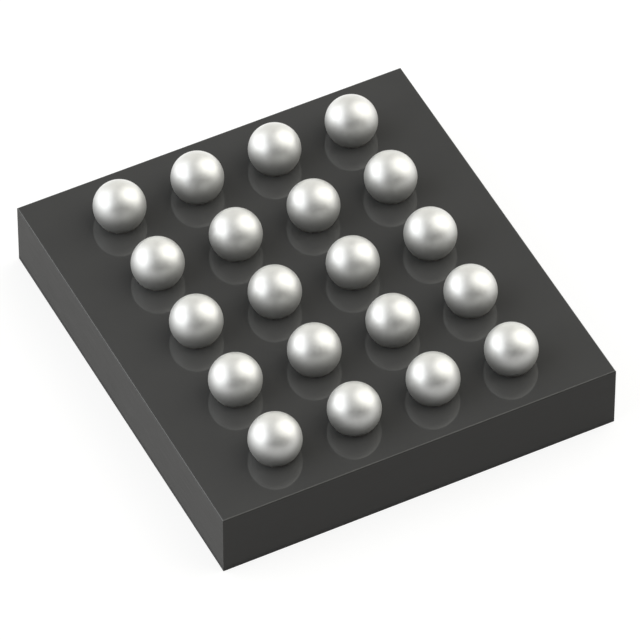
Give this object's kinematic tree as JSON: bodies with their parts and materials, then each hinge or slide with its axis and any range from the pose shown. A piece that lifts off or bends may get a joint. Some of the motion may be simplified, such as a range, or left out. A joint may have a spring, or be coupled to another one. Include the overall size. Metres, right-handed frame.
{
  "type": "ball grid array chip",
  "caption": "Die-size chip: a thin dark slab of silicon with a full grid of solder balls on one face, to be soldered face down onto a circuit board.",
  "frame": {"origin": "middle of the flat back face, which the chip lies on", "axes": "+Z from the back face up to the solder balls, +X along the short rows of balls, +Y along the long columns; ball A1 is at +X +Y"},
  "size_m": [0.002, 0.0022, 0.0005],
  "materials": {
    "back_coating": "matte",
    "silicon": "satin, sawn",
    "pad_aluminium": "satin",
    "lower_film": "glossy",
    "trace_copper": "plated copper",
    "cover_film": "glossy",
    "under_bump_metal": "plated copper",
    "solder": "satin, as reflowed"
  },
  "bodies": {
    "root": {"back_coating": "back_coating", "silicon_die": "silicon", "bond_pads": "pad_aluminium", "lower_film": "lower_film", "redistribution_traces": "trace_copper", "cover_film": "cover_film", "under_bump_pad_a1": "under_bump_metal", "under_bump_pad_a2": "under_bump_metal", "under_bump_pad_a3": "under_bump_metal", "under_bump_pad_a4": "under_bump_metal", "under_bump_pad_b1": "under_bump_metal", "under_bump_pad_b2": "under_bump_metal", "under_bump_pad_b3": "under_bump_metal", "under_bump_pad_b4": "under_bump_metal", "under_bump_pad_c1": "under_bump_metal", "under_bump_pad_c2": "under_bump_metal", "under_bump_pad_c3": "under_bump_metal", "under_bump_pad_c4": "under_bump_metal", "under_bump_pad_d1": "under_bump_metal", "under_bump_pad_d2": "under_bump_metal", "under_bump_pad_d3": "under_bump_metal", "under_bump_pad_d4": "under_bump_metal", "under_bump_pad_e1": "under_bump_metal", "under_bump_pad_e2": "under_bump_metal", "under_bump_pad_e3": "under_bump_metal", "under_bump_pad_e4": "under_bump_metal", "solder_ball_a1": "solder", "solder_ball_a2": "solder", "solder_ball_a3": "solder", "solder_ball_a4": "solder", "solder_ball_b1": "solder", "solder_ball_b2": "solder", "solder_ball_b3": "solder", "solder_ball_b4": "solder", "solder_ball_c1": "solder", "solder_ball_c2": "solder", "solder_ball_c3": "solder", "solder_ball_c4": "solder", "solder_ball_d1": "solder", "solder_ball_d2": "solder", "solder_ball_d3": "solder", "solder_ball_d4": "solder", "solder_ball_e1": "solder", "solder_ball_e2": "solder", "solder_ball_e3": "solder", "solder_ball_e4": "solder"}
  },
  "joints": []
}
